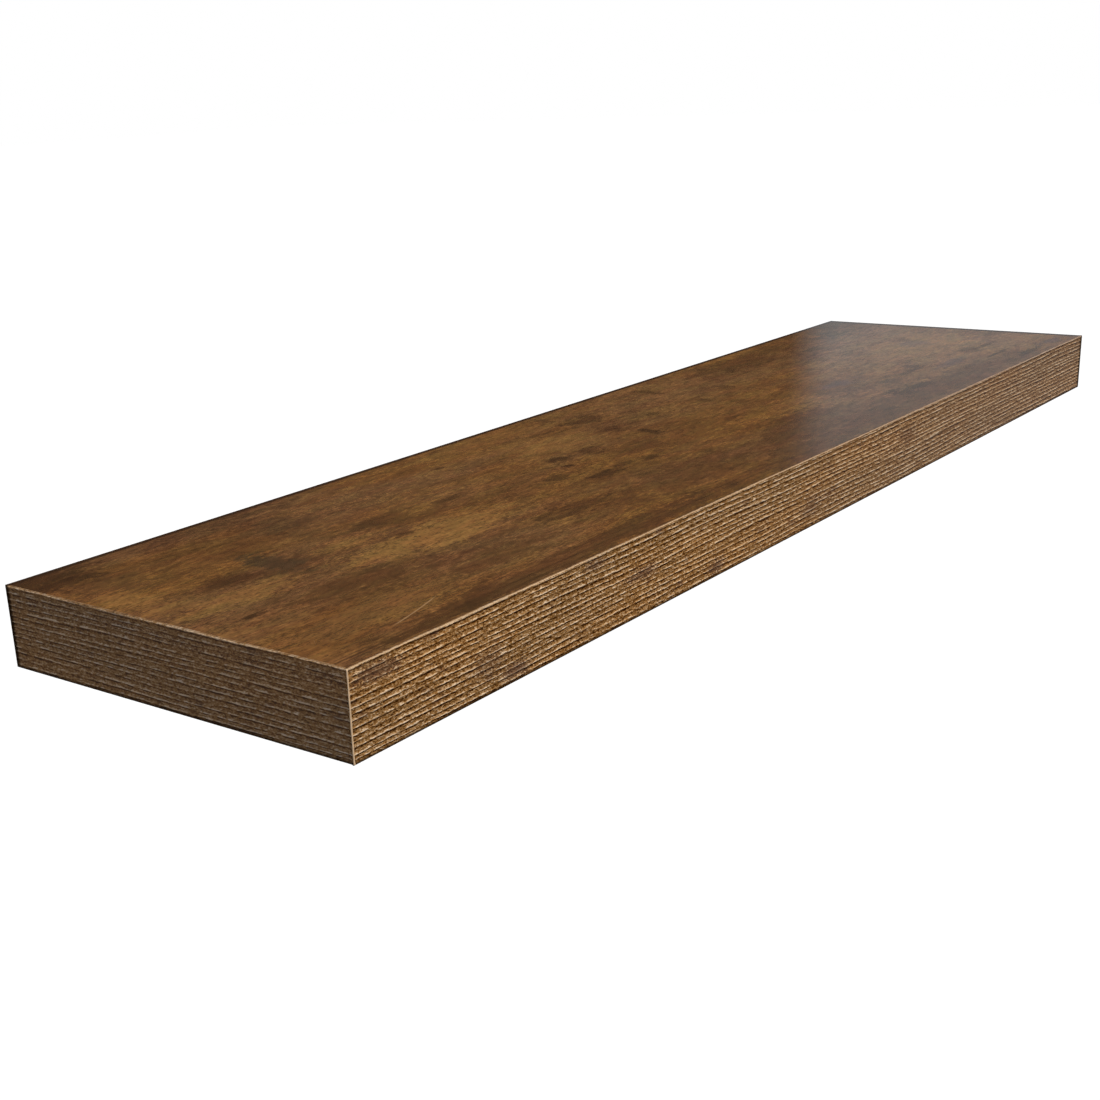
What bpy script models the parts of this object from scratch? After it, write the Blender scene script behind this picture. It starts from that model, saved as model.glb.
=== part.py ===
# A hollow-core floating wall shelf on a concealed steel bracket.
#
# The board is two thin sheets glued over a batten frame with a paper honeycomb between them,
# and edge bands close its front and ends. Steel rods on a wall plate slide into bores in its back.
# +X runs along the shelf to the right, +Y points into the wall, +Z is up, all in metres.
# The origin is the middle of the wall plate's back face, which lies on the wall.

import math

import bmesh
import bpy
from mathutils import Matrix, Vector

# Outside size of the board.
LENGTH = 0.800
DEPTH = 0.200
THICKNESS = 0.038

# The sheets, the bands and the frame between them.
SKIN = 0.003
BAND = 0.001
BAND_ARRIS = 0.0006
GLUE_LINE = 0.0003
FRONT_RAIL_WIDTH = 0.025
END_RAIL_WIDTH = 0.025
BACK_RAIL_WIDTH = 0.025
BACK_GROOVE = 0.008
ROD_BLOCK_WIDTH = 0.060

# The paper honeycomb: width of a cell across its flats, and its glued double wall.
CELL = 0.020
PAPER_WALL = 0.0005

# The wall plate and its screw slots.
PLATE = 0.003
PLATE_END_GAP = 0.0237
PLATE_EDGE_GAP = 0.0017
PLATE_CORNER = 0.004
SLOT_WIDTH = 0.0065
SLOT_LENGTH = 0.014
SLOT_OUTBOARD = 0.070
SLOT_INBOARD = 0.047
SLOT_FROM_CENTRE = 0.080

# The rods, with the weld at their foot.
ROD_DIAMETER = 0.012
ROD_INSET = 0.100
ROD_TIP_GAP = 0.021
ROD_CHAMFER = 0.0015
WELD_LEG = 0.003
BORE_CLEARANCE = 0.0003
BORE_PAST_TIP = 0.006

# The lock screw under each outer rod, in its threaded insert.
LOCK_FROM_WALL = 0.060
LOCK_SCREW_DIAMETER = 0.006
LOCK_SCREW_RECESS = 0.0027
LOCK_POINT = 0.0012
HEX_SOCKET = 0.003
HEX_SOCKET_DEPTH = 0.0035
INSERT_DIAMETER = 0.010
INSERT_LENGTH = 0.009
INSERT_BARB = 0.0005
INSERT_BARBS = 4

# The gap that two metal faces keep where they touch or thread together.
SEAT_GAP = 0.0003

ROUND_STEPS = 32
ARC_STEPS = 8
ARRIS_STEPS = 3
CUTTER_OVERRUN = 0.002

# Places worked out from the sizes above.
UNDERSIDE = -THICKNESS / 2
CORE_HEIGHT = THICKNESS - 2 * SKIN - 2 * GLUE_LINE
SHEET_END = LENGTH / 2 - BAND - GLUE_LINE
SHEET_FRONT = -DEPTH + BAND + GLUE_LINE
FRAME_END = SHEET_END - END_RAIL_WIDTH
CORE_FRONT = SHEET_FRONT + FRONT_RAIL_WIDTH
BACK_RAIL_FRONT = -BACK_GROOVE - BACK_RAIL_WIDTH
PLATE_END = FRAME_END - PLATE_END_GAP
PLATE_HEIGHT = CORE_HEIGHT - 2 * PLATE_EDGE_GAP
ROD_X = PLATE_END - ROD_INSET
ROD_FOOT = -PLATE - SEAT_GAP
ROD_TIP = CORE_FRONT + ROD_TIP_GAP
ROD_RADIUS = ROD_DIAMETER / 2
BORE_RADIUS = ROD_RADIUS + BORE_CLEARANCE
INSERT_HOLE_RADIUS = INSERT_DIAMETER / 2 + SEAT_GAP

# Colours are linear values: the printed brown board, its bands, raw boards, paper and metals.
DECOR = ("rustic_decor", (0.110, 0.058, 0.026), 0.32, 0.0)
BANDING = ("edge_band", (0.190, 0.112, 0.055), 0.55, 0.0)
CHIPBOARD = ("chipboard", (0.480, 0.345, 0.200), 0.90, 0.0)
KRAFT_PAPER = ("kraft_paper", (0.400, 0.265, 0.150), 0.95, 0.0)
BLACK_STEEL = ("black_steel", (0.020, 0.020, 0.022), 0.50, 0.6)
ZINC_ALLOY = ("zinc_alloy", (0.560, 0.500, 0.330), 0.35, 0.9)
OXIDE_STEEL = ("oxide_steel", (0.050, 0.048, 0.047), 0.45, 0.9)


def clear_scene():
    for old in list(bpy.data.objects):
        bpy.data.objects.remove(old)


def new_collection(name):
    collection = bpy.data.collections.new(name)
    bpy.context.scene.collection.children.link(collection)
    return collection


def material(finish):
    name, colour, roughness, metallic = finish
    if name in bpy.data.materials:
        return bpy.data.materials[name]
    made = bpy.data.materials.new(name)
    made.use_nodes = True
    shader = made.node_tree.nodes["Principled BSDF"]
    shader.inputs["Base Color"].default_value = (*colour, 1)
    shader.inputs["Roughness"].default_value = roughness
    shader.inputs["Metallic"].default_value = metallic
    return made


def axis_empty(name, place):
    empty = bpy.data.objects.new(name, None)
    empty.location = place
    shelf.objects.link(empty)
    return empty


def into(obj, collection):
    for held in list(obj.users_collection):
        held.objects.unlink(obj)
    collection.objects.link(obj)


def finish_part(obj, name, finish, carrier):
    obj.name = obj.data.name = name
    into(obj, shelf)
    obj.data.materials.clear()
    obj.data.materials.append(material(finish))
    obj.parent = carrier
    obj.matrix_parent_inverse = Matrix.Translation(-carrier.location)
    return obj


def box(low, high):
    low, high = Vector(low), Vector(high)
    bpy.ops.mesh.primitive_cube_add(size=1, location=(low + high) / 2)
    obj = bpy.context.object
    obj.scale = high - low
    bpy.ops.object.transform_apply(location=False, rotation=False, scale=True)
    return obj


def cutting_cylinder(radius, start, end):
    # A helper that other pieces subtract, drawn as a wire and left out of renders.
    start, end = Vector(start), Vector(end)
    run = end - start
    bpy.ops.mesh.primitive_cylinder_add(vertices=ROUND_STEPS, radius=radius, depth=run.length)
    obj = bpy.context.object
    obj.rotation_euler = run.to_track_quat("Z", "Y").to_euler()
    obj.location = (start + end) / 2
    return as_cutter(obj)


def as_cutter(obj):
    into(obj, cutters)
    obj.hide_render = True
    obj.display_type = "WIRE"
    return obj


def cut(obj, cutter):
    modifier = obj.modifiers.new("cut_" + cutter.name, "BOOLEAN")
    modifier.operation = "DIFFERENCE"
    modifier.object = cutter


def round_edges(obj, chosen, radius):
    # Rounds the mesh edges that chosen picks, as a scraper does to an arris.
    work = bmesh.new()
    work.from_mesh(obj.data)
    edges = [edge for edge in work.edges if chosen(*(v.co for v in edge.verts))]
    bmesh.ops.bevel(
        work,
        geom=edges,
        offset=radius,
        segments=ARRIS_STEPS,
        profile=0.5,
        affect="EDGES",
        clamp_overlap=True,
    )
    work.to_mesh(obj.data)
    work.free()


def shade_round(mesh):
    mesh.shade_smooth()
    mesh.set_sharp_from_angle(angle=math.radians(35))


def turned(profile, closed):
    # A profile of (radius, height) points turned about Z. It runs down its outer side.
    points = [(radius, 0, height) for radius, height in profile]
    edges = [(i, i + 1) for i in range(len(points) - 1)]
    if closed:
        edges.append((len(points) - 1, 0))
    mesh = bpy.data.meshes.new("turned")
    mesh.from_pydata(points, edges, [])
    obj = bpy.data.objects.new("turned", mesh)
    screw = obj.modifiers.new("turn", "SCREW")
    screw.steps = screw.render_steps = ROUND_STEPS
    screw.use_merge_vertices = True
    screw.merge_threshold = 0.00001
    screw.use_smooth_shade = True
    shelf.objects.link(obj)
    return obj


def arc(centre, radius, start_deg, end_deg):
    # Points along an arc, its two ends included.
    turn = end_deg - start_deg
    angles = [math.radians(start_deg + turn * i / ARC_STEPS) for i in range(ARC_STEPS + 1)]
    return [(centre[0] + radius * math.cos(a), centre[1] + radius * math.sin(a)) for a in angles]


def rounded_rectangle(width, height, radius):
    x, y = width / 2 - radius, height / 2 - radius
    corners = ((x, y, 0), (-x, y, 90), (-x, -y, 180), (x, -y, 270))
    return [p for cx, cy, a in corners for p in arc((cx, cy), radius, a, a + 90)]


def slot_outline(centre, upright):
    reach = (SLOT_LENGTH - SLOT_WIDTH) / 2
    radius = SLOT_WIDTH / 2
    x, y = centre
    if upright:
        return arc((x, y + reach), radius, 0, 180) + arc((x, y - reach), radius, 180, 360)
    return arc((x + reach, y), radius, -90, 90) + arc((x - reach, y), radius, 90, 270)


def flat_plate(outlines, thickness):
    # A flat sheet in the XZ plane: the first outline is its edge, the others are holes.
    curve = bpy.data.curves.new("plate", "CURVE")
    curve.dimensions = "2D"
    curve.fill_mode = "BOTH"
    curve.extrude = thickness / 2
    for outline in outlines:
        spline = curve.splines.new("POLY")
        spline.points.add(len(outline) - 1)
        for point, (x, y) in zip(spline.points, outline):
            point.co = (x, y, 0, 1)
        spline.use_cyclic_u = True
    obj = bpy.data.objects.new("plate", curve)
    obj.rotation_euler = (math.radians(90), 0, 0)
    shelf.objects.link(obj)
    return obj


def make_sheets(board, insert_holes):
    # The top and bottom sheets, the bottom one drilled for the lock inserts.
    half = THICKNESS / 2
    for name, low_z in (("top_panel", half - SKIN), ("bottom_panel", -half)):
        sheet = box((-SHEET_END, SHEET_FRONT, low_z), (SHEET_END, 0, low_z + SKIN))
        finish_part(sheet, name, DECOR, board)
        if name == "bottom_panel":
            for hole in insert_holes:
                cut(sheet, hole)


def make_edge_bands(board):
    # The front band covers the ends of the two end bands, as the banding machine leaves them.
    half = THICKNESS / 2
    front = box((-LENGTH / 2, -DEPTH, -half), (LENGTH / 2, -DEPTH + BAND, half))
    round_edges(front, lambda a, b: a.y < 0 and b.y < 0, BAND_ARRIS)
    finish_part(front, "front_edge_band", BANDING, board)
    for name, side in (("left_edge_band", -1), ("right_edge_band", 1)):
        x_ends = sorted((side * LENGTH / 2, side * (LENGTH / 2 - BAND)))
        band = box((x_ends[0], SHEET_FRONT, -half), (x_ends[1], 0, half))
        round_edges(
            band,
            lambda a, b: a.x * side > 0 and b.x * side > 0 and abs(a.z - b.z) < SKIN,
            BAND_ARRIS,
        )
        finish_part(band, name, BANDING, board)


def make_frame(board, rod_bores):
    # End rails run the full depth and close the back groove. The long rails butt between them.
    core = CORE_HEIGHT / 2
    for name, side in (("left_end_rail", -1), ("right_end_rail", 1)):
        x_ends = sorted((side * SHEET_END, side * FRAME_END))
        rail = box((x_ends[0], SHEET_FRONT, -core), (x_ends[1], 0, core))
        finish_part(rail, name, CHIPBOARD, board)
    reach = FRAME_END - GLUE_LINE
    front = box((-reach, SHEET_FRONT, -core), (reach, CORE_FRONT, core))
    finish_part(front, "front_rail", CHIPBOARD, board)
    back = box((-reach, BACK_RAIL_FRONT, -core), (reach, -BACK_GROOVE, core))
    finish_part(back, "back_rail", CHIPBOARD, board)
    for bore in rod_bores:
        cut(back, bore)


def make_rod_blocks(board, rods, rod_bores, insert_holes):
    # A solid block behind each bore takes the rod's load into both sheets.
    core = CORE_HEIGHT / 2
    half = ROD_BLOCK_WIDTH / 2
    for (side, x), bore in zip(rods, rod_bores):
        block = box(
            (x - half, CORE_FRONT + GLUE_LINE, -core),
            (x + half, BACK_RAIL_FRONT - GLUE_LINE, core),
        )
        finish_part(block, side + "_rod_block", CHIPBOARD, board)
        cut(block, bore)
        for hole in insert_holes:
            if abs(hole.location.x - x) < half:
                cut(block, hole)


def honeycomb_pad(name, low_x, high_x, board):
    # Whole hexagonal cells, stretched or squeezed a little so that the opened pad fills its bay.
    bay_x = high_x - low_x - 2 * GLUE_LINE
    bay_y = BACK_RAIL_FRONT - CORE_FRONT - 2 * GLUE_LINE
    row_step = CELL * math.sqrt(3) / 2
    point_to_point = 2 * CELL / math.sqrt(3)
    columns = max(1, int(bay_x / CELL))
    rows = max(2, int(1.5 + (bay_y - point_to_point) / row_step))
    pad_x = (columns + 0.5) * CELL
    pad_y = (rows - 1) * row_step + point_to_point
    work = bmesh.new()
    for row in range(rows):
        for column in range(columns):
            x = (column + 0.5 + 0.5 * (row % 2)) * CELL - pad_x / 2
            y = row * row_step + point_to_point / 2 - pad_y / 2
            bmesh.ops.create_circle(
                work,
                cap_ends=True,
                segments=6,
                radius=point_to_point / 2,
                matrix=Matrix.Translation((x, y, 0)),
            )
    bmesh.ops.remove_doubles(work, verts=work.verts, dist=CELL / 100)
    bmesh.ops.scale(work, vec=(bay_x / pad_x, bay_y / pad_y, 1), verts=work.verts)
    cells = list(work.faces)
    bmesh.ops.inset_individual(work, faces=cells, thickness=PAPER_WALL / 2)
    bmesh.ops.delete(work, geom=cells, context="FACES")
    bmesh.ops.recalc_face_normals(work, faces=work.faces)
    mesh = bpy.data.meshes.new(name)
    work.to_mesh(mesh)
    work.free()
    pad = bpy.data.objects.new(name, mesh)
    pad.location = ((low_x + high_x) / 2, (CORE_FRONT + BACK_RAIL_FRONT) / 2, 0)
    walls = pad.modifiers.new("cell_depth", "SOLIDIFY")
    walls.thickness = CORE_HEIGHT
    walls.offset = 0
    shelf.objects.link(pad)
    finish_part(pad, name, KRAFT_PAPER, board)


def make_honeycomb(board, rods):
    half = ROD_BLOCK_WIDTH / 2
    left, middle, right = (x for side, x in rods)
    honeycomb_pad("outer_left_honeycomb", -FRAME_END, left - half, board)
    honeycomb_pad("inner_left_honeycomb", left + half, middle - half, board)
    honeycomb_pad("inner_right_honeycomb", middle + half, right - half, board)
    honeycomb_pad("outer_right_honeycomb", right + half, FRAME_END, board)


def make_wall_plate(bracket):
    outlines = [rounded_rectangle(2 * PLATE_END, PLATE_HEIGHT, PLATE_CORNER)]
    for side in (-1, 1):
        outlines.append(slot_outline((side * (ROD_X + SLOT_OUTBOARD), 0), True))
        outlines.append(slot_outline((side * (ROD_X - SLOT_INBOARD), 0), False))
        outlines.append(slot_outline((side * SLOT_FROM_CENTRE, 0), False))
    plate = flat_plate(outlines, PLATE)
    plate.location = (0, -PLATE / 2, 0)
    finish_part(plate, "wall_plate", BLACK_STEEL, bracket)


def make_rods(bracket, rods):
    # Round bar with a chamfered tip and the ring of weld that fixes its foot to the plate.
    length = ROD_FOOT - ROD_TIP
    weld = [
        (ROD_RADIUS + WELD_LEG * (1 - math.sin(a)), WELD_LEG * (1 - math.cos(a)))
        for a in (math.radians(90 * i / ARC_STEPS) for i in range(ARC_STEPS, -1, -1))
    ]
    profile = [
        (0, length),
        (ROD_RADIUS - ROD_CHAMFER, length),
        (ROD_RADIUS, length - ROD_CHAMFER),
        *weld,
        (0, 0),
    ]
    for side, x in rods:
        rod = turned(profile, closed=False)
        rod.location = (x, ROD_FOOT, 0)
        rod.rotation_euler = (math.radians(90), 0, 0)
        finish_part(rod, side + "_rod", BLACK_STEEL, bracket)


def make_lock_inserts(board, lock_places):
    # A barbed sleeve pressed into the underside, open through its middle for the screw.
    outer = INSERT_DIAMETER / 2
    inner = LOCK_SCREW_DIAMETER / 2 + SEAT_GAP
    barb = INSERT_LENGTH / INSERT_BARBS
    profile = [(inner, INSERT_LENGTH)]
    for i in range(INSERT_BARBS):
        top = INSERT_LENGTH - i * barb
        profile.append((outer - INSERT_BARB, top))
        profile.append((outer, top - barb))
    profile.append((inner, 0))
    for side, x, y in lock_places:
        insert = turned(profile, closed=True)
        insert.location = (x, y, UNDERSIDE + SEAT_GAP)
        finish_part(insert, side + "_lock_insert", ZINC_ALLOY, board)


def make_lock_screws(carriers, lock_places):
    # A grub screw that bears on the rod from below, with a hexagon socket in its lower end.
    radius = LOCK_SCREW_DIAMETER / 2
    foot = UNDERSIDE + LOCK_SCREW_RECESS
    length = -ROD_RADIUS - SEAT_GAP - foot
    profile = [
        (0, length),
        (radius - LOCK_POINT, length),
        (radius, length - LOCK_POINT),
        (radius, LOCK_POINT / 2),
        (radius - LOCK_POINT / 2, 0),
        (0, 0),
    ]
    for (side, x, y), carrier in zip(lock_places, carriers):
        screw = turned(profile, closed=False)
        screw.location = (x, y, foot)
        finish_part(screw, side + "_lock_screw", OXIDE_STEEL, carrier)
        bpy.ops.mesh.primitive_cylinder_add(
            vertices=6,
            radius=HEX_SOCKET / math.sqrt(3),
            depth=HEX_SOCKET_DEPTH + CUTTER_OVERRUN,
            location=(x, y, foot + (HEX_SOCKET_DEPTH - CUTTER_OVERRUN) / 2),
        )
        cut(screw, as_cutter(bpy.context.object))


def make_shelf():
    rods = (("left", -ROD_X), ("centre", 0.0), ("right", ROD_X))
    lock_places = [(side, x, -LOCK_FROM_WALL) for side, x in rods if x]
    bracket = axis_empty("bracket", (0, 0, 0))
    board = axis_empty("board", (0, 0, 0))
    screw_axes = [axis_empty(side + "_lock", (x, y, UNDERSIDE)) for side, x, y in lock_places]
    rod_bores = [
        cutting_cylinder(BORE_RADIUS, (x, 0, 0), (x, ROD_TIP - BORE_PAST_TIP, 0)) for _, x in rods
    ]
    insert_holes = [
        cutting_cylinder(INSERT_HOLE_RADIUS, (x, y, UNDERSIDE - CUTTER_OVERRUN), (x, y, 0))
        for _, x, y in lock_places
    ]
    make_sheets(board, insert_holes)
    make_edge_bands(board)
    make_frame(board, rod_bores)
    make_rod_blocks(board, rods, rod_bores, insert_holes)
    make_honeycomb(board, rods)
    make_wall_plate(bracket)
    make_rods(bracket, rods)
    make_lock_inserts(board, lock_places)
    make_lock_screws(screw_axes, lock_places)


clear_scene()
shelf = new_collection("floating_wall_shelf")
cutters = new_collection("cutters")
make_shelf()
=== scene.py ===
import math

import bmesh
import bpy
from mathutils import Matrix, Vector


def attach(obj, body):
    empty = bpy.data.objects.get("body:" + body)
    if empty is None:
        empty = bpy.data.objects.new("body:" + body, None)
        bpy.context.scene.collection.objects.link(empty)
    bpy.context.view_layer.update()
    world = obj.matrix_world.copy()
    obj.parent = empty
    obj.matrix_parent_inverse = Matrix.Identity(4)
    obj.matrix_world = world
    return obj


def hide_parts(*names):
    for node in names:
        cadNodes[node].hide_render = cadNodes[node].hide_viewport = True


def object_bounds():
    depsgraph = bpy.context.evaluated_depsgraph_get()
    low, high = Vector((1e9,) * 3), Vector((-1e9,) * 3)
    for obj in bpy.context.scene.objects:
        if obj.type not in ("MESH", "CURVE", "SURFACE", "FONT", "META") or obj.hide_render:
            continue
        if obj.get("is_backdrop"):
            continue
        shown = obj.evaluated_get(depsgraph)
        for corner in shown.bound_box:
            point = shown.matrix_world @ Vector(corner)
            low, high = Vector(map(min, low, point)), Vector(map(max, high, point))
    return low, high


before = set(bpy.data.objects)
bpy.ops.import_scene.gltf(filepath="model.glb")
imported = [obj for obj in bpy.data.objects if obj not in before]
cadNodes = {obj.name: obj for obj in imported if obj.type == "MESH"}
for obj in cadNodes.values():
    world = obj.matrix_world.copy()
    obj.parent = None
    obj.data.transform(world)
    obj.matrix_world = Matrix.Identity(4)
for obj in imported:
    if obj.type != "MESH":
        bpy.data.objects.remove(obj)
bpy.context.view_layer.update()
scene = bpy.context.scene


# camera: the photograph's own view, from the front left and a little above

cameraSetup = {
    "place": (-0.7840, -0.5687, 0.2167),
    "turn": (70.312, 2.527, -52.530),  # degrees about X, Y, Z; the picture leans a little
    "lens": 51.65,
    "sensor": 36.0,
    "shift": (0.057, 0.0827),  # the photograph was cropped off centre
    "clip": (0.01, 60),
}


def addObject(name, data, place=(0, 0, 0), turn=(0, 0, 0)):
    # turn is in degrees
    added = bpy.data.objects.new(name, data)
    added.location = place
    added.rotation_euler = [math.radians(a) for a in turn]
    scene.collection.objects.link(added)
    return added


def makeCamera(setup):
    data = bpy.data.cameras.new("camera")
    data.lens = setup["lens"]
    data.sensor_width = setup["sensor"]
    data.shift_x, data.shift_y = setup["shift"]
    data.clip_start, data.clip_end = setup["clip"]
    scene.camera = addObject("camera", data, setup["place"], setup["turn"])


makeCamera(cameraSetup)
scene.view_settings.view_transform = "Standard"

# the board in metres: x runs along it, y into the wall, z up
board = {
    "halfLength": 0.4,
    "depth": 0.2,
    "halfThick": 0.019,
    "band": 0.001,  # how thick its edge bands are
    "locks": (("left", -0.25, -0.06), ("right", 0.25, -0.06)),  # x and y of each one
}


# node trees, for materials and for Geometry Nodes alike

class Field:
    # one output of a node, so that masks and distances can be written as plain formulas

    def __init__(self, tree, socket):
        self.tree, self.socket = tree, socket

    def __add__(self, other):
        return calc("ADD", self, other)

    def __sub__(self, other):
        return calc("SUBTRACT", self, other)

    def __rsub__(self, other):
        return calc("SUBTRACT", other, self)

    def __mul__(self, other):
        return calc("MULTIPLY", self, other)

    def __truediv__(self, other):
        return calc("DIVIDE", self, other)

    def __rtruediv__(self, other):
        return calc("DIVIDE", other, self)

    def __abs__(self):
        return calc("ABSOLUTE", self)


def feed(node, inputs):
    # links the fields and sets the plain values; colours are given without their alpha
    for key, value in inputs.items():
        socket = node.inputs[key]
        if isinstance(value, Field):
            value.tree.links.new(value.socket, socket)
        else:
            socket.default_value = (*value, 1) if socket.type == "RGBA" else value


def put(kind, inputs, output=0, tree=None, **settings):
    # adds a node to its fields' tree and gives one of its outputs, or all where output is None
    if tree is None:
        tree = next(value.tree for value in inputs.values() if isinstance(value, Field))
    node = tree.nodes.new(kind)
    for name, value in settings.items():
        setattr(node, name, value)
    feed(node, inputs)
    if output is None:
        return [Field(tree, socket) for socket in node.outputs]
    return Field(tree, node.outputs[output])


def calc(operation, *values, clamp=False):
    return put("ShaderNodeMath", dict(enumerate(values)), operation=operation, use_clamp=clamp)


def larger(first, second):
    return calc("MAXIMUM", first, second)


def smaller(first, second):
    return calc("MINIMUM", first, second)


def vectorCalc(operation, *values, output=0):
    return put("ShaderNodeVectorMath", dict(enumerate(values)), output, operation=operation)


def scaled(way, amount):
    return put("ShaderNodeVectorMath", {0: way, 3: amount}, operation="SCALE")


def split(place):
    return put("ShaderNodeSeparateXYZ", {0: place}, None)


def join(x, y, z=0.0):
    return put("ShaderNodeCombineXYZ", {0: x, 1: y, 2: z})


def spread(value, start, end, low=0.0, high=1.0, kind="LINEAR"):
    # value from start to end, mapped to low..high and held there beyond them
    inputs = dict(enumerate((value, start, end, low, high)))
    return put("ShaderNodeMapRange", inputs, interpolation_type=kind)


def vary(value, low, high):
    # spreads a noise, most of which lies between 0.3 and 0.7, from low to high
    return spread(value, 0.3, 0.7, low, high)


def ease(*values):
    # the same as a smooth step
    return spread(*values, kind="SMOOTHSTEP")


def noise(place, perMetre, detail=2.0, rough=0.5, shift=(0, 0, 0), twist=0.0):
    # noise whose lumps have their own size along each axis
    stretched = vectorCalc("MULTIPLY_ADD", place, perMetre, shift)
    inputs = {"Vector": stretched, "Scale": 1.0, "Detail": detail, "Roughness": rough}
    return put("ShaderNodeTexNoise", {**inputs, "Distortion": twist})


def grey(value):
    return put("ShaderNodeCombineColor", {0: value, 1: value, 2: value})


def blend(amount, first, second, mode="MIX"):
    inputs = {0: amount, 6: first, 7: second}
    return put("ShaderNodeMix", inputs, 2, data_type="RGBA", blend_type=mode)


def tinted(colour, tint):
    return blend(1.0, colour, tint, "MULTIPLY")


def ramp(value, *stops):
    colour = put("ShaderNodeValToRGB", {0: value})
    points = colour.socket.node.color_ramp.elements
    while len(points) < len(stops):
        points.new(0.5)
    for point, (place, tone) in zip(points, stops):
        point.position = place
        point.color = (*tone, 1)
    return colour


def makeGroup(name, work, inputs, kind="ShaderNodeTree"):
    # node group around work, a function from the group's inputs to its named results
    # inputs: name -> default value, or the kind of socket where it has no default
    tree = bpy.data.node_groups.new(name, kind)
    for label, value in inputs.items():
        bare = isinstance(value, str)
        socketKind = value if bare else "Vector" if isinstance(value, tuple) else "Float"
        socket = tree.interface.new_socket(
            label, in_out="INPUT", socket_type="NodeSocket" + socketKind
        )
        if not bare:
            socket.default_value = value
    start = tree.nodes.new("NodeGroupInput").outputs
    results = work(*[Field(tree, start[label]) for label in inputs])
    for label, field in results.items():
        tree.interface.new_socket(label, in_out="OUTPUT", socket_type=field.socket.bl_idname)
    feed(tree.nodes.new("NodeGroupOutput"), results)
    return tree


def useGroup(group, inputs, output=0):
    return put("ShaderNodeGroup", inputs, output, node_tree=group)


def newMaterial(name, specular=0.5):
    material = bpy.data.materials.new(name)
    material.use_nodes = True
    tree = material.node_tree
    feed(tree.nodes["Principled BSDF"], {"IOR": 1.5, "Specular IOR Level": specular})
    return material, put("ShaderNodeTexCoord", {}, "Object", tree)


def finishMaterial(material, colour, roughness, height, depth, metallic=0.0):
    # depth is the real height of the bump in metres
    bump = put("ShaderNodeBump", {"Height": height, "Strength": 1.0, "Distance": depth})
    inputs = {"Base Color": colour, "Roughness": roughness, "Metallic": metallic}
    feed(material.node_tree.nodes["Principled BSDF"], {**inputs, "Normal": bump})
    return material


# shared effects: each group puts out one mask

def grainMask(place, length, width):
    # short fibres along X
    across = 1.0 / width
    fibres = noise(place, join(1.0 / length, across, across), rough=0.6)
    return {"Mask": ease(fibres, 0.3, 0.7)}


def speckMask(place, size, amount):
    # small spots that gather where the amount is high
    rate = 1.0 / size
    spots = noise(place, join(rate, rate, rate), rough=0.6)
    level = spread(amount, 0.0, 1.0, 0.78, 0.52)
    return {"Mask": calc("MULTIPLY", spots - level, 14.0, clamp=True)}


def wearMask(place, distance, width, waver):
    # strip along an edge that is scraped or rubbed bare: 1 at the edge, 0 past a wavering width
    ragged = noise(place, (170, 170, 170), 4.0, 0.65)
    wavering = width * ((ragged - 0.5) * waver * 3.0 + 1.0)
    share = distance / larger(wavering, 0.00002)
    return {"Mask": ease(share, 0.75, 1.25, 1.0, 0.0)}


def scuffMask(place, length, width, amount):
    # hairline scratches that lie in two directions
    along = 1.0 / length
    rate = join(along, 1.0 / width, along)
    level = spread(amount, 0.0, 1.0, 0.80, 0.55)
    masks = []
    for turn in (0.35, -0.9):
        inputs = {"Vector": place, "Angle": turn}
        turned = put("ShaderNodeVectorRotate", inputs, rotation_type="Z_AXIS")
        lines = noise(turned, rate, 1.0, shift=(turn * 9, 3, 0))
        masks.append(calc("MULTIPLY", lines - level, 16.0, clamp=True))
    return {"Mask": larger(*masks)}


def stainMask(place, middle, halfSize, push):
    # one ragged-edged patch: 1 inside, 0 outside
    shares = vectorCalc("DIVIDE", vectorCalc("SUBTRACT", place, middle), halfSize)
    flat = vectorCalc("MULTIPLY", shares, (1, 1, 0))
    reach = push + vectorCalc("LENGTH", flat, output=1)
    return {"Mask": ease(reach, 0.50, 1.20, 1.0, 0.0)}


def placedGroup(name, work, inputs):
    # group whose first input is the place that it colours
    return makeGroup(name, work, {"Place": "Vector", **inputs})


grainGroup = placedGroup("fineGrain", grainMask, {"Fibre length": 0.012, "Fibre width": 0.0004})
speckGroup = placedGroup("specks", speckMask, {"Spot size": 0.002, "Amount": 0.5})
wearGroup = placedGroup("edgeWear", wearMask, {"Distance": 0.001, "Width": 0.0004, "Waver": 0.5})
scuffGroup = placedGroup("scuffs", scuffMask, {"Length": 0.025, "Width": 0.0004, "Amount": 0.3})
stainInputs = {"Middle": "Vector", "Half size": (0.02, 0.01, 1.0), "Push": 0.0}
stainGroup = placedGroup("stain", stainMask, stainInputs)


def patchOn(place, push, patch):
    # mask of one listed patch, given in mm
    middleX, middleY, halfX, halfY, strength = patch
    inputs = {"Place": place, "Push": push}
    inputs["Middle"] = (middleX / 1000, middleY / 1000, 0)
    inputs["Half size"] = (halfX / 1000, halfY / 1000, 1)
    return useGroup(stainGroup, inputs) * strength


def lineMask(place, start, end, halfWidth, bow):
    # 1 along one thin, slightly bowed scratch, fading out at its ends
    start, end = Vector((*start, 0)), Vector((*end, 0))
    way = (end - start).normalized()
    away = vectorCalc("SUBTRACT", place, (start + end) / 2)
    along = vectorCalc("DOT_PRODUCT", away, way, output=1)
    across = vectorCalc("DOT_PRODUCT", away, (-way.y, way.x, 0), output=1)
    half = (end - start).length / 2
    aside = abs(across + along * along * bow)
    thin = ease(aside, halfWidth * 0.4, halfWidth * 1.4, 1.0, 0.0)
    return thin * ease(abs(along), half * 0.6, half, 1.0, 0.0)


# the printed rustic brown of the top and bottom sheets

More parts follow.
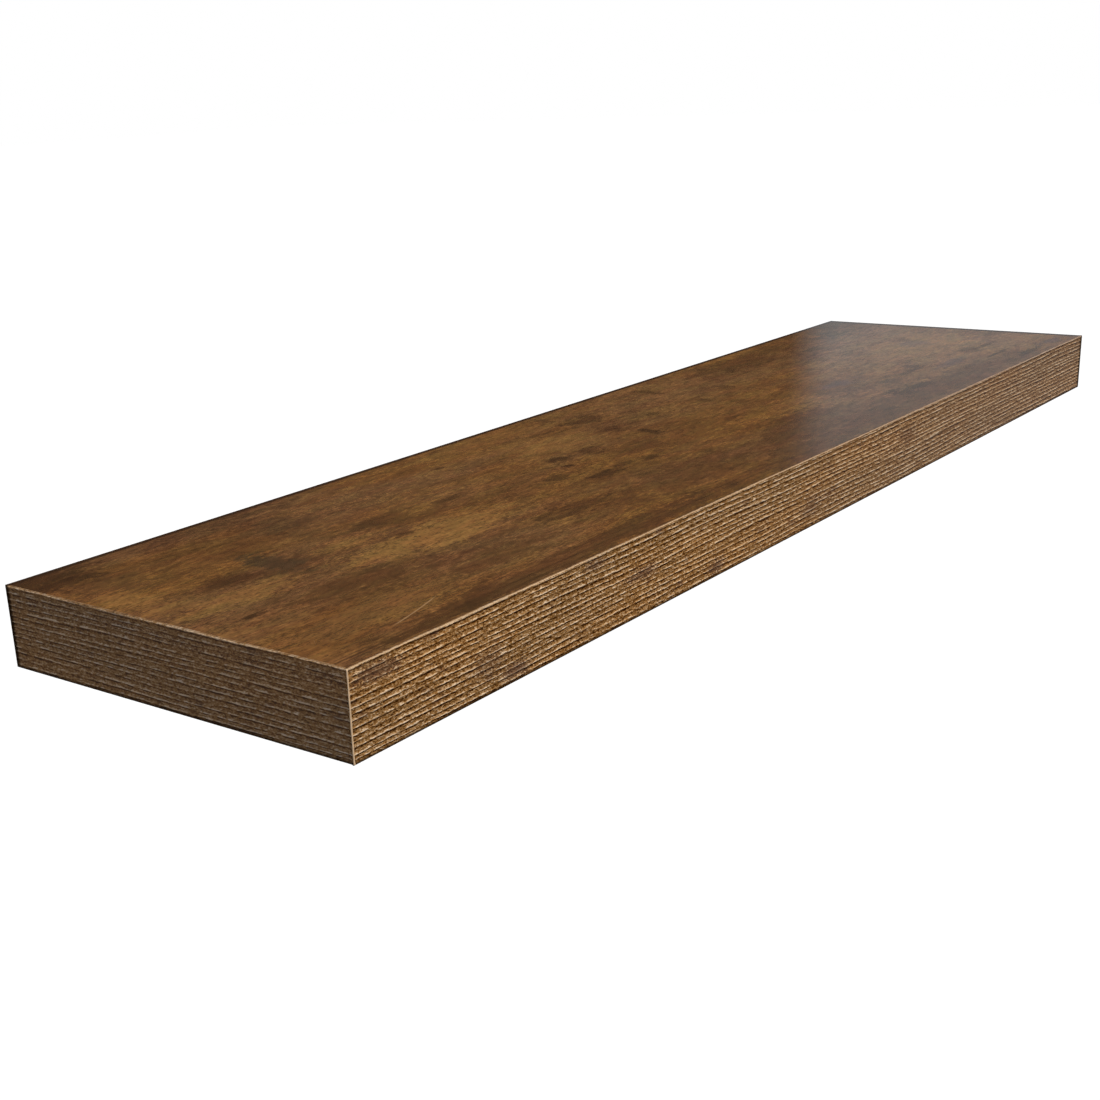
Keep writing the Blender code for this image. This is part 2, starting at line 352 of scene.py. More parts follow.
printLook = {
    "deep": (0.095, 0.0405, 0.0120),
    "middle": (0.168, 0.0765, 0.0225),
    "golden": (0.272, 0.134, 0.0360),
    "smear": (0.052, 0.0220, 0.0064),
    "rimShade": (0.0360, 0.0145, 0.0045),
    "olive": (0.066, 0.037, 0.0150),
    "plum": (0.098, 0.052, 0.0440),
    "warmTint": (1.03, 0.98, 0.82),
    "coolTint": (0.98, 0.99, 1.18),
    "greenLean": (0.955, 1.03, 1.0),
    "redLean": (1.055, 0.97, 1.0),
    "roughness": 0.21,
    "bump": 0.00001,
    "patches": {  # by tone; each in mm: middle x, y, half sizes, then strength
        "golden": (
            (-360, -104, 36, 10, 0.6), (-250, -115, 56, 18, 0.85), (-235, -124, 34, 8, 0.5),
            (-388, -70, 12, 26, 0.5), (-71, -60, 30, 20, 0.45), (300, -105, 85, 42, 0.5),
            (60, -88, 40, 12, 0.3), (214, -80, 14, 8, 0.5), (339, -130, 14, 12, 0.8),
            (45, -63, 48, 13, 0.4), (-100, -12, 50, 12, 0.35), (-280, -88, 18, 9, 0.55),
            (-380, -88, 20, 9, 0.35),
        ),
        "middle": ((-345, -165, 60, 12, 0.7), (-380, -45, 20, 20, 0.5)),
        "deep": (
            (-320, -133, 42, 12, 0.75), (-259, -161, 44, 13, 0.7), (-219, -190, 150, 9, 0.8),
            (-95, -158, 60, 20, 0.6), (-54, -102, 28, 12, 0.6), (-330, -55, 50, 10, 0.45),
            (150, -180, 170, 16, 0.75), (-160, -100, 26, 14, 0.4), (150, -122, 40, 18, 0.5),
            (360, -22, 50, 20, 0.6), (40, -150, 50, 20, 0.5), (190, -26, 52, 18, 0.7),
            (-100, -128, 56, 20, 0.45), (-180, -163, 32, 12, 0.5), (60, -164, 120, 16, 0.45),
            (60, -192, 330, 11, 0.45), (40, -190, 120, 13, 0.45), (290, -26, 46, 20, 0.45),
            (-375, -38, 26, 13, 0.45), (170, -40, 80, 12, 0.3), (-20, -112, 40, 14, 0.35),
        ),
        "smear": (
            (-392, -8, 32, 26, 0.9), (-348, -83, 18, 8, 0.75), (-239, -78, 22, 9, 0.6),
            (-193, -81, 16, 5, 0.65), (-252, -101, 6, 4, 0.7), (-375, -125.5, 7.5, 2.6, 0.95),
            (-179, -146.5, 30, 9, 0.65), (-145, -35, 4, 2.4, 0.8), (-20.5, -64, 9, 8, 0.7),
            (-15.5, -88, 5, 9, 0.8), (26, -63, 6, 4, 0.55), (77, -69, 5, 8, 0.5),
            (83, -92, 6, 6, 0.5), (84, -24, 5, 10, 0.55), (120, -60, 7, 9, 0.5),
            (-19.5, -14, 5, 10, 0.5), (-6, -35, 22, 9, 0.6), (-45, -34, 14, 6, 0.4),
            (-98, -80, 10, 5, 0.8), (-107.5, -95, 4.5, 3.5, 0.9), (-73, -84, 12, 8, 0.55),
            (-113, -121.5, 16, 6, 0.8), (-91, -118.5, 10, 3, 0.6), (-70, -122.5, 9, 6, 0.7),
            (-131, -102, 10, 6, 0.6), (271, -48, 12, 6, 0.45), (266, -82, 12, 14, 0.4),
            (236.5, -138.6, 8, 6, 0.6), (218, -145.5, 20, 3, 0.6), (331, -88, 12, 10, 0.5),
            (311, -149, 14, 8, 0.6), (338, -153, 20, 3, 0.65), (303, -172, 30, 2, 0.75),
            (325, -189, 22, 4, 0.7), (165, -170, 26, 9, 0.7),
        ),
        "olive": (
            (-317, -82, 10, 22, 0.85), (-269, -38, 16, 14, 0.4), (180, -149, 10, 7, 0.5),
            (337, -31, 20, 12, 0.6), (376, -12, 26, 14, 0.6),
        ),
        "plum": (
            (321, -104, 14, 10, 0.45), (261, -157, 26, 6, 0.6), (160, -122.5, 20, 6, 0.5),
            (371, -187, 22, 5, 0.6),
        ),
    },
    # from, to, half width and bow
    "scratch": ((-0.357, -0.1842), (-0.316, -0.1742), 0.00035, -1.5),
    "scraped": (0.380, 0.225, 0.1050),
    "rimWidth": 0.0028,  # width of the painted shade along the rim at the wall and at the right end
}


def rusticPrint(place):
    # colour of the printed paper over the whole board
    look = printLook
    x, y, z = split(place)
    broad = noise(place, (5, 13, 1), 3.0, 0.55, shift=(3.1, 7.7, 0), twist=0.4)
    cloud = noise(place, (24, 70, 1), 6.0, 0.66, shift=(1.3, 2.9, 0), twist=0.7)
    mottle = noise(place, (220, 400, 1), 5.0, 0.72, shift=(6.3, 0.9, 0))
    tone = spread(broad * 0.38 + cloud * 0.42 + mottle * 0.56, 0.54, 0.84)
    colour = ramp(tone, (0.0, look["deep"]), (0.48, look["middle"]), (1.0, look["golden"]))
    # the hue drifts between golden brown and grey brown
    hue = noise(place, (6, 16, 1), 4.0, 0.6, shift=(9.2, 3.3, 0), twist=0.3)
    colour = tinted(colour, blend(ease(hue, 0.36, 0.64), look["coolTint"], look["warmTint"]))
    # flecks and fibres lie under the darker patches, curled wisps over all of them
    fibres = useGroup(grainGroup, {"Place": place, "Fibre length": 0.010, "Fibre width": 0.0010})
    flecks = noise(place, (430, 900, 1), 4.0, 0.75, shift=(0.4, 6.1, 0))
    rubbed = noise(place, (12, 30, 1), 3.0, 0.6, shift=(4.9, 2.8, 0))
    rubbing = ease(rubbed, 0.40, 0.60, 0.25, 0.90) * ease(x, -0.20, 0.10, 1.0, 0.62)
    flecked = blend(rubbing, (1, 1, 1), grey(vary(flecks, 0.35, 1.65)))
    wisps = noise(place, (70, 260, 1), 5.0, 0.75, shift=(6.6, 1.4, 0), twist=0.6)
    wisped = spread(fibres, 0.0, 1.0, 0.86, 1.12) * vary(wisps, 0.62, 1.38)
    # the listed patches share one ragged edge
    edge = noise(place, (60, 120, 1), 3.0, 0.6, shift=(2.7, 5.2, 0))
    fray = noise(place, (330, 520, 1), 3.0, 0.7, shift=(7.1, 0.2, 0))
    push = (edge - 0.5) * 2.4 + (fray - 0.5) * 1.8
    for toneName, patches in look["patches"].items():
        if toneName == "deep":
            colour = tinted(colour, flecked)
        for patch in patches:
            colour = blend(patchOn(place, push, patch), colour, look[toneName])
    colour = tinted(colour, grey(wisped))
    # short smears along the board gather in places, with specks and dashes
    smears = noise(place, (34, 170, 1), 5.0, 0.7, shift=(5.5, 1.2, 0), twist=0.8)
    gathered = noise(place, (9, 20, 1), shift=(8.1, 4.4, 0))
    smears = ease(smears, 0.55, 0.68) * ease(gathered, 0.44, 0.62, 0.0, 0.65)
    spots = {"Place": place, "Spot size": 0.0022, "Amount": ease(gathered, 0.4, 0.7)}
    specks = useGroup(speckGroup, spots) * 0.45
    dashes = noise(place, (130, 620, 1), rough=0.6, shift=(7.4, 3.6, 0))
    dashes = ease(dashes, 0.62, 0.68, 0.0, 0.6)
    # straight wood lines come out along the front edge, most at the left
    lines = noise(place, (5, 620, 1), shift=(2.2, 0.7, 0))
    nearFront = ease(y, -0.190, -0.174, 1.0, 0.0)
    atLeft = ease(x, -0.25, 0.05, 1.0, 0.2)
    lines = ease(lines, 0.50, 0.62) * nearFront * atLeft * 0.60
    for mask in (smears, specks, dashes, lines):
        colour = blend(mask, colour, look["smear"])
    # fine specks lean towards red or green
    lean = noise(place, (26, 80, 1), 4.0, 0.75, shift=(1.9, 8.3, 0))
    lean = blend(ease(lean, 0.35, 0.65), look["greenLean"], look["redLean"])
    colour = tinted(colour, lean)
    # painted shade: a dark line along the top's back edge at the wall and along its right end
    rim = larger(y, x - (board["halfLength"] - look["rimWidth"])) + fray * 0.0020
    rimShadeMask = ease(rim, -0.0036, -0.0016) * ease(z, 0.0, 0.01) * 0.95
    colour = blend(rimShadeMask, colour, look["rimShade"])
    colour = blend(lineMask(place, *look["scratch"]) * 0.8, colour, look["scraped"])
    dark = spread(put("ShaderNodeRGBToBW", {0: colour}), 0.12, 0.04)
    return {"Colour": colour, "Dark": dark, "Fibre": fibres}


def makePrintMaterial(look):
    material, place = newMaterial("rusticDecor")
    group = placedGroup("rusticPrint", rusticPrint, {})
    colour, dark, fibre = useGroup(group, {"Place": place}, None)
    peel = noise(place, (450, 450, 450))
    uneven = noise(place, (60, 90, 60), 3.0, 0.6)
    marks = {"Place": place, "Length": 0.03, "Width": 0.0005, "Amount": 0.25}
    roughness = uneven * 0.08 + (look["roughness"] - 0.04)
    roughness = roughness + dark * 0.06 + useGroup(scuffGroup, marks) * 0.06
    return finishMaterial(material, colour, roughness, fibre * 0.35 + peel, look["bump"])


printMaterial = makePrintMaterial(printLook)
print("printed decor made")


# raw boards and paper: what the sheets, the battens and the core are made of

rawLook = {
    "fibreboard": (0.290, 0.180, 0.092),
    "chipDark": (0.270, 0.160, 0.075),
    "chipMiddle": (0.500, 0.350, 0.195),
    "chipPale": (0.700, 0.550, 0.350),
    "chipSize": (0.0046, 0.0046, 0.0012),  # metres
    "kraft": (0.370, 0.235, 0.120),
    "kraftDark": (0.260, 0.155, 0.075),
    "specular": 0.2,
}


def makeFibreboardMaterial(look):
    material, place = newMaterial("rawFibreboard", look["specular"])
    felt = noise(place, (700, 700, 2600), 3.0, 0.7)
    cloud = noise(place, (60, 60, 300))
    shade = vary(felt, 0.75, 1.2) * vary(cloud, 0.88, 1.1)
    roughness = vary(felt, 0.95, 0.82)
    colour = tinted(look["fibreboard"], grey(shade))
    return finishMaterial(material, colour, roughness, felt, depth=0.00012)


def makeChipboardMaterial(look):
    material, place = newMaterial("rawChipboard", look["specular"])
    rate = tuple(1 / size for size in look["chipSize"])
    wander = noise(place, (300, 300, 300)) * 1.2
    moved = vectorCalc("MULTIPLY_ADD", place, rate, wander)
    flakes = {"Vector": moved, "Scale": 1.0}
    distance, ownColour, *_ = put("ShaderNodeTexVoronoi", flakes, None)
    own = put("ShaderNodeSeparateColor", {0: ownColour})
    colour = ramp(own, (0.0, look["chipDark"]), (0.5, look["chipMiddle"]), (1.0, look["chipPale"]))
    fibres = useGroup(grainGroup, {"Place": place, "Fibre length": 0.004, "Fibre width": 0.0003})
    rim = ease(distance, 0.35, 0.80, 1.06, 0.72)
    dust = noise(place, (900, 900, 2200), rough=0.7)
    shade = rim * spread(fibres, 0.0, 1.0, 0.86, 1.1) * vary(dust, 0.82, 1.16)
    roughness = spread(own, 0.0, 1.0, 0.95, 0.82)
    colour = tinted(colour, grey(shade))
    return finishMaterial(material, colour, roughness, fibres * 0.4 + rim, depth=0.00025)


def makeKraftMaterial(look):
    material, place = newMaterial("kraftPaper", look["specular"])
    pulp = noise(place, (500, 500, 1500), 4.0, 0.7)
    cloud = noise(place, (90, 90, 160), 3.0, 0.6)
    tone = spread(pulp * 0.6 + cloud * 0.4, 0.38, 0.62)
    colour = ramp(tone, (0.0, look["kraftDark"]), (1.0, look["kraft"]))
    roughness = vary(pulp, 0.95, 0.85)
    return finishMaterial(material, colour, roughness, pulp, depth=0.00006)


fibreboardMaterial = makeFibreboardMaterial(rawLook)
chipboardMaterial = makeChipboardMaterial(rawLook)
kraftMaterial = makeKraftMaterial(rawLook)
print("raw board and paper made")


# metal: powder-coated bracket, zinc inserts, blackened grub screws

metalLook = {
    "coat": (0.0225, 0.0222, 0.0225),
    "coatCloud": (0.0320, 0.0312, 0.0310),
    "coatRoughness": 0.42,
    "bare": (0.33, 0.33, 0.335),
    "plateWear": 0.00045,
    "tipWear": 0.0016,
    # bright tone, dull tone, least and most roughness
    "zinc": ((0.620, 0.560, 0.400), (0.400, 0.360, 0.250), 0.28, 0.45),
    "oxide": ((0.085, 0.083, 0.082), (0.050, 0.049, 0.050), 0.30, 0.48),
}


def finishCoat(material, place, look, bare):
    # powder coat with its orange peel, rubbed to bare steel where bare is 1
    peel = noise(place, (520, 520, 520), 1.0)
    fine = noise(place, (2400, 2400, 2400), 1.0)
    cloud = noise(place, (25, 25, 25), 3.0)
    coat = blend(vary(cloud, 0.0, 1.0), look["coat"], look["coatCloud"])
    coatRough = vary(cloud, look["coatRoughness"], look["coatRoughness"] + 0.1)
    bareRough = vary(fine, 0.28, 0.45)
    colour = blend(bare, coat, look["bare"])
    roughness = bare * (bareRough - coatRough) + coatRough
    height = fine * 0.25 + peel
    return finishMaterial(material, colour, roughness, height, depth=0.00003, metallic=bare)


def makePlateMaterial(look, shape):
    material, place = newMaterial("powderCoatPlate")
    x, y, z = split(place)
    fromRim = smaller(shape["halfX"] - abs(x), shape["halfZ"] - abs(z))
    fromFace = shape["thick"] / 2 - abs(y + shape["thick"] / 2)
    edge = {"Place": place, "Distance": larger(fromRim, fromFace)}
    rubbed = useGroup(wearGroup, {**edge, "Width": look["plateWear"], "Waver": 1.6})
    marks = {"Place": place, "Length": 0.012, "Width": 0.0003, "Amount": 0.3}
    bare = larger(rubbed, useGroup(scuffGroup, marks) * 0.35)
    return finishCoat(material, place, look, bare)


def makeRodMaterial(look, shape):
    material, place = newMaterial("powderCoatRod")
    _, y, _ = split(place)
    fromTip = y - (shape["foot"] - shape["length"])
    edge = {"Place": place, "Distance": fromTip, "Width": look["tipWear"], "Waver": 0.8}
    # streaks where the rod slides in its bore
    streaks = noise(place, (1100, 14, 1100), rough=0.6)
    rubbed = ease(streaks, 0.60, 0.70, 0.0, 0.8) * ease(y, -0.03, -0.06)
    return finishCoat(material, place, look, larger(useGroup(wearGroup, edge), rubbed))


def makeBareMetalMaterial(name, bright, dull, low, high):
    # plated or blackened metal: cloudy tone, fine turning marks
    material, place = newMaterial(name)
    cloud = noise(place, (900, 900, 900), 3.0, 0.6)
    fine = noise(place, (1500, 1500, 9000))
    colour = blend(ease(cloud, 0.4, 0.65), bright, dull)
    roughness = vary(cloud, low, high)
    full = spread(cloud, 0.0, 1.0, 0.92, 1.0)
    return finishMaterial(material, colour, roughness, fine, depth=0.000012, metallic=full)


zincMaterial = makeBareMetalMaterial("zincAlloy", *metalLook["zinc"])
oxideMaterial = makeBareMetalMaterial("blackOxide", *metalLook["oxide"])
print("metal finishes made")


# edge bands: plastic strip embossed with ridges, its arrises scraped back to tan

bandLook = {
    "pitch": 0.00250,
    "depth": 0.00056,
    "wander": 1.0,
    "seed": 1.7,
    # crest is the painted highlight on the ridges, under and groove the painted shadow beneath them
    "crest": (0.760, 0.580, 0.405),
    "flank": (0.420, 0.232, 0.0900),
    "under": (0.180, 0.073, 0.0130),
    "groove": (0.036, 0.009, 0.0006),
    # ends is the greyer tone of the painted shade on the end bands
    "ends": (0.420, 0.260, 0.1580),
    "farSheen": (0.190, 0.178, 0.1900),
    "frontToEnds": (-0.1988, -0.1985),  # y where the front band's look gives way to the ends'
    "bruises": (  # in mm: middle x, z, half sizes, then strength
        (-382, 13, 17, 4, 0.65), (-300, -14, 10, 4, 0.7), (-320, -5, 12, 6, 0.4),
        (-240, 15, 9, 3, 0.5), (-202, 1, 16, 3, 0.65), (-134, -14, 9, 4, 0.7),
        (-32, -7, 12, 6, 0.5), (90, 6, 14, 5, 0.5),
    ),
    "golden": (1.08, 1.00, 0.88),
    "plum": (0.125, 0.064, 0.042),
    "edgeShade": (0.020, 0.009, 0.003),
    "arris": (0.800, 0.550, 0.330),
    "farArrisSheen": (0.560, 0.405, 0.310),
    "arrisWidth": 0.00026,
    "plainEdge": 0.0005,
    "specular": 0.015,
    "roughness": 0.62,
    "crackle": 0.0016,
}


def ridgeField(place, pitch, wander):
    # height of the embossing, 0 on the flats and 1 on a crest, then where that is within one
    # ridge and how strong the ridge is there; place is (along, up, 0) in metres
    _, up, _ = split(place)
    seed = bandLook["seed"]
    even, other = (seed, seed, seed), (5.3, seed, seed)
    slow = noise(place, (8, 45, 1), 1.0, shift=even)
    middle = noise(place, (12, 230, 1), 1.0, shift=other)
    quick = noise(place, (230, 460, 1), rough=0.6, shift=even)
    bend = (slow - 0.5) * 1.3 + (middle - 0.5) + (quick - 0.5) * 0.30
    within = calc("FRACT", bend * wander + up / pitch)
    # each ridge is steep below and slopes off above
    ridge = smaller(ease(within, 0.04, 0.22), ease(within, 0.55, 0.20))
    fill = noise(place, (200, 420, 1), rough=0.6, shift=other)
    fade = noise(place, (34, 400, 1), 1.0, shift=even)
    strength = ease(fill, 0.36, 0.56, 0.25, 1.0) * ease(fade, 0.36, 0.52, 0.5, 1.0)
    height = ridge * strength + spread(strength, 0.0, 1.0, 0.35, 0.0)
    return {"Height": height, "Within": within, "Strength": strength}


def bandPlace(place):
    # the bands lie along X or along Y, so x + y runs along any of them and round the corners
    x, y, z = split(place)
    return join(x + y, z), x, y, z


def makeBandMaterial(look):
    material, place = newMaterial("edgeBand", look["specular"])
    flat, x, y, z = bandPlace(place)
    inputs = {"Pitch": look["pitch"], "Wander": look["wander"]}
    group = placedGroup("ridges", ridgeField, inputs)
    height, within, strength = useGroup(group, {"Place": flat}, None)
    broken = noise(flat, (400, 1000, 1), rough=0.65, shift=(5.3, 1.7, 1.7))
    crackle = noise(flat, (800, 1700, 1), rough=0.7, shift=(3.0, 8.0, 0))
    # painted highlight on each crest and a painted shadow line under it, as if lit from above, with khaki
    # flats between
    pale = smaller(ease(within, 0.05, 0.18), ease(within, 0.48, 0.26))
    dark = larger(ease(within, 0.76, 0.94), ease(within, 0.13, 0.03))
    level = (pale - dark) * 0.55 * strength + 0.45
    # painted shade: the end bands get weaker crackle than the lit front band
    crackled = (crackle - 0.5) * ease(y, *look["frontToEnds"], 2.1, 1.6)
    level = crackled + level + (broken - 0.5) * 1.4
    dull = ((0.0, look["groove"]), (0.25, look["under"]))
    colour = ramp(level, *dull, (0.62, look["flank"]), (1.0, look["crest"]))
    warm = noise(flat, (7, 30, 1), 3.0, 0.6, shift=(4.0, 9.0, 0))
    colour = tinted(colour, blend(ease(warm, 0.40, 0.65), (1, 1, 1), look["golden"]))
    # painted shade: the end bands take a greyer tone than the front band
    colour = blend(ease(y, *look["frontToEnds"], 0.0, 0.22), colour, look["ends"])
    # painted reflection: the bands turn greyer towards the right end
    colour = blend(ease(x, -0.18, 0.30, 0.0, 0.26), colour, look["farSheen"])
    bruise = noise(flat, (50, 130, 1), 4.0, 0.7, shift=(2.0, 5.0, 0))
    bruised = ease(bruise, 0.58, 0.70, 0.0, 0.6)
    push = (crackle - 0.5) * 3.0 - (bruise - 0.5) * 2.0
    onFace = join(x, z)
    for patch in look["bruises"]:
        bruised = larger(bruised, patchOn(onFace, push, patch))
    colour = blend(bruised, colour, look["plum"])
    # scraped arrises: distance from the top edge and from the board's corners
    fromEnd = board["halfLength"] - abs(x)
    fromFront = y + board["depth"]
    corner = larger(fromEnd, fromFront)
    nearest = smaller(board["halfThick"] - z, corner * 0.40)
    onFront = ease(fromFront, 0.0008, 0.0014, 1.0, 0.30)
    edge = {"Place": flat, "Distance": nearest, "Width": onFront * look["arrisWidth"]}
    scraped = useGroup(wearGroup, {**edge, "Waver": 0.5})
    # painted shade: the lower arris, the end at the wall and the right corner get a dark line
    rightCorner = corner + ease(x, -0.1, 0.1, 1.0, 0.0)
    lower = smaller(smaller(z + board["halfThick"], y * -0.5), rightCorner * 0.4)
    colour = blend(ease(lower, 0.0006, 0.0016, 0.92, 0.0), colour, look["edgeShade"])
    streaks = vary(crackle, 0.85, 1.08) * onFront
    # painted reflection: the scraped arris also turns greyer towards the right end
    tan = blend(ease(x, -0.15, 0.30), look["arris"], look["farArrisSheen"])
    # painted shade: the top arris at the right end keeps little tan, so it stays dark
    scraped = scraped * ease(x, 0.3975, 0.3990, 1.0, 0.2)
    scraped = scraped * ease(smaller(fromEnd, fromFront), 0.0003, 0.0006, 1.0, 0.15)
    colour = blend(scraped, colour, tinted(tan, grey(streaks)))
    roughness = spread(level, 0.0, 1.0, look["roughness"] + 0.2, look["roughness"])
    relief = (height * 0.5 + (broken * 0.8 + crackle)) * (1.0 - scraped)
    return finishMaterial(material, colour, roughness, relief, look["crackle"])


bandMaterial = makeBandMaterial(bandLook)

bandShape = {
    "radius": 0.0006,
    "roundSteps": 4,
    "stepAlong": 0.0014,
    "stepUp": 0.00024,
}


def keepMesh(mesh, name):
    # turns a finished bmesh into an object at the origin
    bmesh.ops.recalc_face_normals(mesh, faces=mesh.faces)
    data = bpy.data.meshes.new(name)
    mesh.to_mesh(data)
    mesh.free()
    return addObject(name, data)


def bridge(mesh, lower, upper):
    # smooth wall between two rings of points; a ring of one point closes an end
    count = max(len(lower), len(upper))
    for k in range(count):
        n = (k + 1) % count
        corners = [lower[k % len(lower)], lower[n % len(lower)]]
        corners += [upper[n % len(upper)], upper[k % len(upper)]]
        mesh.faces.new(list(dict.fromkeys(corners))).smooth = True


def endSign(k, last):
    # -1 at the first of a row of points, 1 at the last and 0 between
    return (k == last) - (k == 0)


def bandBase(name, low, high, outward, across, shape):
    # closed strip whose outer face is a fine grid with rounded edges; low and high are corners
    # outward: unit vector of the face; across: unit vector along the strip
    low, high = Vector(low), Vector(high)
    size = high - low
    up = Vector((0, 0, 1))
    thick, length, tall = abs(size.dot(outward)), abs(size.dot(across)), size.z
    radius, steps = shape["radius"], shape["roundSteps"]
    flatX, flatZ = length - 2 * radius, tall - 2 * radius
    middle = (low + high) / 2 + outward * thick / 2
    columns = int(length / shape["stepAlong"])
    rows = int(tall / shape["stepUp"])
    mesh = bmesh.new()
    grid = []
    for i in range(columns + 1):
        foot = middle + across * ((i / columns - 0.5) * flatX)
        heights = [(j / rows - 0.5) * flatZ for j in range(rows + 1)]
        grid.append([mesh.verts.new(foot + up * height) for height in heights])
    for left, right in zip(grid, grid[1:]):
        for j in range(rows):
            mesh.faces.new((left[j], right[j], right[j + 1], left[j + 1]))
    # the rounded edges and the back hang on the grid's rim
    rim = [(i, 0) for i in range(columns)] + [(columns, j) for j in range(rows)]
    rim += [(i, rows) for i in range(columns, 0, -1)] + [(0, j) for j in range(rows, 0, -1)]
    last = [grid[i][j] for i, j in rim]
    starts = [vert.co.copy() for vert in last]
    ways = [across * endSign(i, columns) + up * endSign(j, rows) for i, j in rim]
    angles = [math.radians(90 * k / steps) for k in range(1, steps + 1)]
    offsets = [(radius * math.sin(a), radius * (1 - math.cos(a))) for a in angles]
    for sideways, inward in offsets + [(radius, thick)]:
        places = [p + way * sideways - outward * inward for p, way in zip(starts, ways)]
        ring = [mesh.verts.new(place) for place in places]
        bridge(mesh, last, ring)
        last = ring
    mesh.faces.new(last)
    return keepMesh(mesh, name)


def finishShape(geometry, offset, finish):
    # every tree ends the same way: moved points, smooth real geometry with its material
    moved = put("GeometryNodeSetPosition", {"Geometry": geometry, "Offset": offset})
    smooth = put("GeometryNodeSetShadeSmooth", {"Geometry": moved})
    whole = put("GeometryNodeRealizeInstances", {"Geometry": smooth})
    done = put("GeometryNodeSetMaterial", {"Geometry": whole, "Material": finish})
    return {"Geometry": done}


def emboss(geometry, depth, pitch, wander, faceNormal, plainEdge, finish):
    # pushes the outer face in along the ridges' grooves, and leaves the scraped arrises smooth
    flat, _, _, z = bandPlace(put("GeometryNodeInputPosition", {}, tree=geometry.tree))
    height = ridgeField(flat, pitch, wander)["Height"]
    normal = put("GeometryNodeInputNormal", {}, tree=geometry.tree)
    facing = vectorCalc("DOT_PRODUCT", normal, faceNormal, output=1)
    fade = ease(board["halfThick"] - abs(z), plainEdge, plainEdge + 0.001)
    down = (height - 1.0) * depth * ease(facing, 0.93, 0.995) * fade
    return finishShape(geometry, scaled(faceNormal, down), finish)


def runTree(piece, tree, values):
    # runs a Geometry Nodes tree on the piece and keeps its result as a plain mesh
    modifier = piece.modifiers.new("shape", "NODES")
    modifier.node_group = tree
    for item in tree.interface.items_tree:
        if item.in_out == "INPUT" and item.name in values:
            modifier[item.identifier] = values[item.name]
    bpy.context.view_layer.update()
    evaluated = piece.evaluated_get(bpy.context.evaluated_depsgraph_get())
    mesh = bpy.data.meshes.new_from_object(evaluated)
    piece.modifiers.remove(modifier)
    old = piece.data
    piece.data = mesh
    bpy.data.meshes.remove(old)
    mesh.name = piece.name


embossInputs = {
    "Geometry": "Geometry",
    "Depth": bandLook["depth"],
    "Pitch": bandLook["pitch"],
    "Wander": bandLook["wander"],
    "Face normal": (0, -1, 0),
    "Plain edge": bandLook["plainEdge"],
    "Finish": "Material",
}
embossTree = makeGroup("emboss", emboss, embossInputs, "GeometryNodeTree")
end, front, half = board["halfLength"], -board["depth"], board["halfThick"]
endBack, frontBack = end - board["band"], front + board["band"]
bandPieces = (
    ("frontBand", "front_edge_band", (-end, front, -half), (end, frontBack, half), (0, -1, 0), (1, 0, 0)),
    ("leftBand", "left_edge_band", (-end, frontBack, -half), (-endBack, 0, half), (-1, 0, 0), (0, -1, 0)),
    ("rightBand", "right_edge_band", (endBack, frontBack, -half), (end, 0, half), (1, 0, 0), (0, 1, 0)),
)
for name, node, low, high, outward, across in bandPieces:
    piece = bandBase(name, low, high, Vector(outward), Vector(across), bandShape)
    runTree(piece, embossTree, {"Face normal": outward, "Finish": bandMaterial})
    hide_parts(node)
    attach(piece, "board")
print("edge bands embossed")


# flat pieces with rounded edges: the two sheets and the wall plate

def offsetLoop(points, distance):
    # moves a closed counter-clockwise outline out by distance
    moved = []
    for k, point in enumerate(points):
        before = (point - points[k - 1]).normalized()
        after = (points[(k + 1) % len(points)] - point).normalized()
        bisector = Vector((before.y + after.y, -before.x - after.x)).normalized()
        # a sharp corner moves out by no more than about three times the distance
        stretch = max(bisector.dot(Vector((before.y, -before.x))), 0.3)
        moved.append(point + bisector * distance / stretch)
    return moved


samePoint = 1e-7  # metres between points that count as one


def roundLoop(middle, halfX, halfY, radius, steps):
    # rectangle with round corners, or a circle or slot where the radius is a half size
    points = []
    for quarter, (signX, signY) in enumerate(((1, 1), (-1, 1), (-1, -1), (1, -1))):
        centreX = middle[0] + signX * (halfX - radius)
        centreY = middle[1] + signY * (halfY - radius)
        for k in range(steps + 1):
            angle = math.radians(90 * (quarter + k / steps))
            reach = (radius * math.cos(angle), radius * math.sin(angle))
            point = Vector((centreX + reach[0], centreY + reach[1]))
            if not points or (point - points[-1]).length > samePoint:
                points.append(point)
    if (points[0] - points[-1]).length < samePoint:
        points.pop()
    return points


def flatPiece(name, outline, holes, low, high, radius, roundSteps):
    # solid between two heights, with rounded edges round its outline and its holes
    mesh = bmesh.new()
    levels = []
    for k in range(roundSteps + 1):
        angle = math.radians(90 * k / roundSteps)
        levels.append((radius * (1 - math.sin(angle)), low + radius * (1 - math.cos(angle))))
    levels += [(inset, low + high - height) for inset, height in reversed(levels)]
    caps = [[], []]
    for loop, sign in [(outline, -1)] + [(hole, 1) for hole in holes]:
        rings = [
            [mesh.verts.new((*p, height)) for p in offsetLoop(loop, sign * inset)]
            for inset, height in levels
        ]
        for lower, upper in zip(rings, rings[1:]):
            bridge(mesh, lower, upper)
        caps[0] += rings[0]
        caps[1] += rings[-1]
    for ring in caps:
        members = set(ring)
        rims = [e for e in mesh.edges if e.verts[0] in members and e.verts[1] in members]
        bmesh.ops.triangle_fill(mesh, edges=rims, use_beauty=True)
    return keepMesh(mesh, name)


sheetShape = {
    "thick": 0.003,
    "corner": 0.0002,
    "arris": 0.00012,
    "lockHole": 0.0053,
}


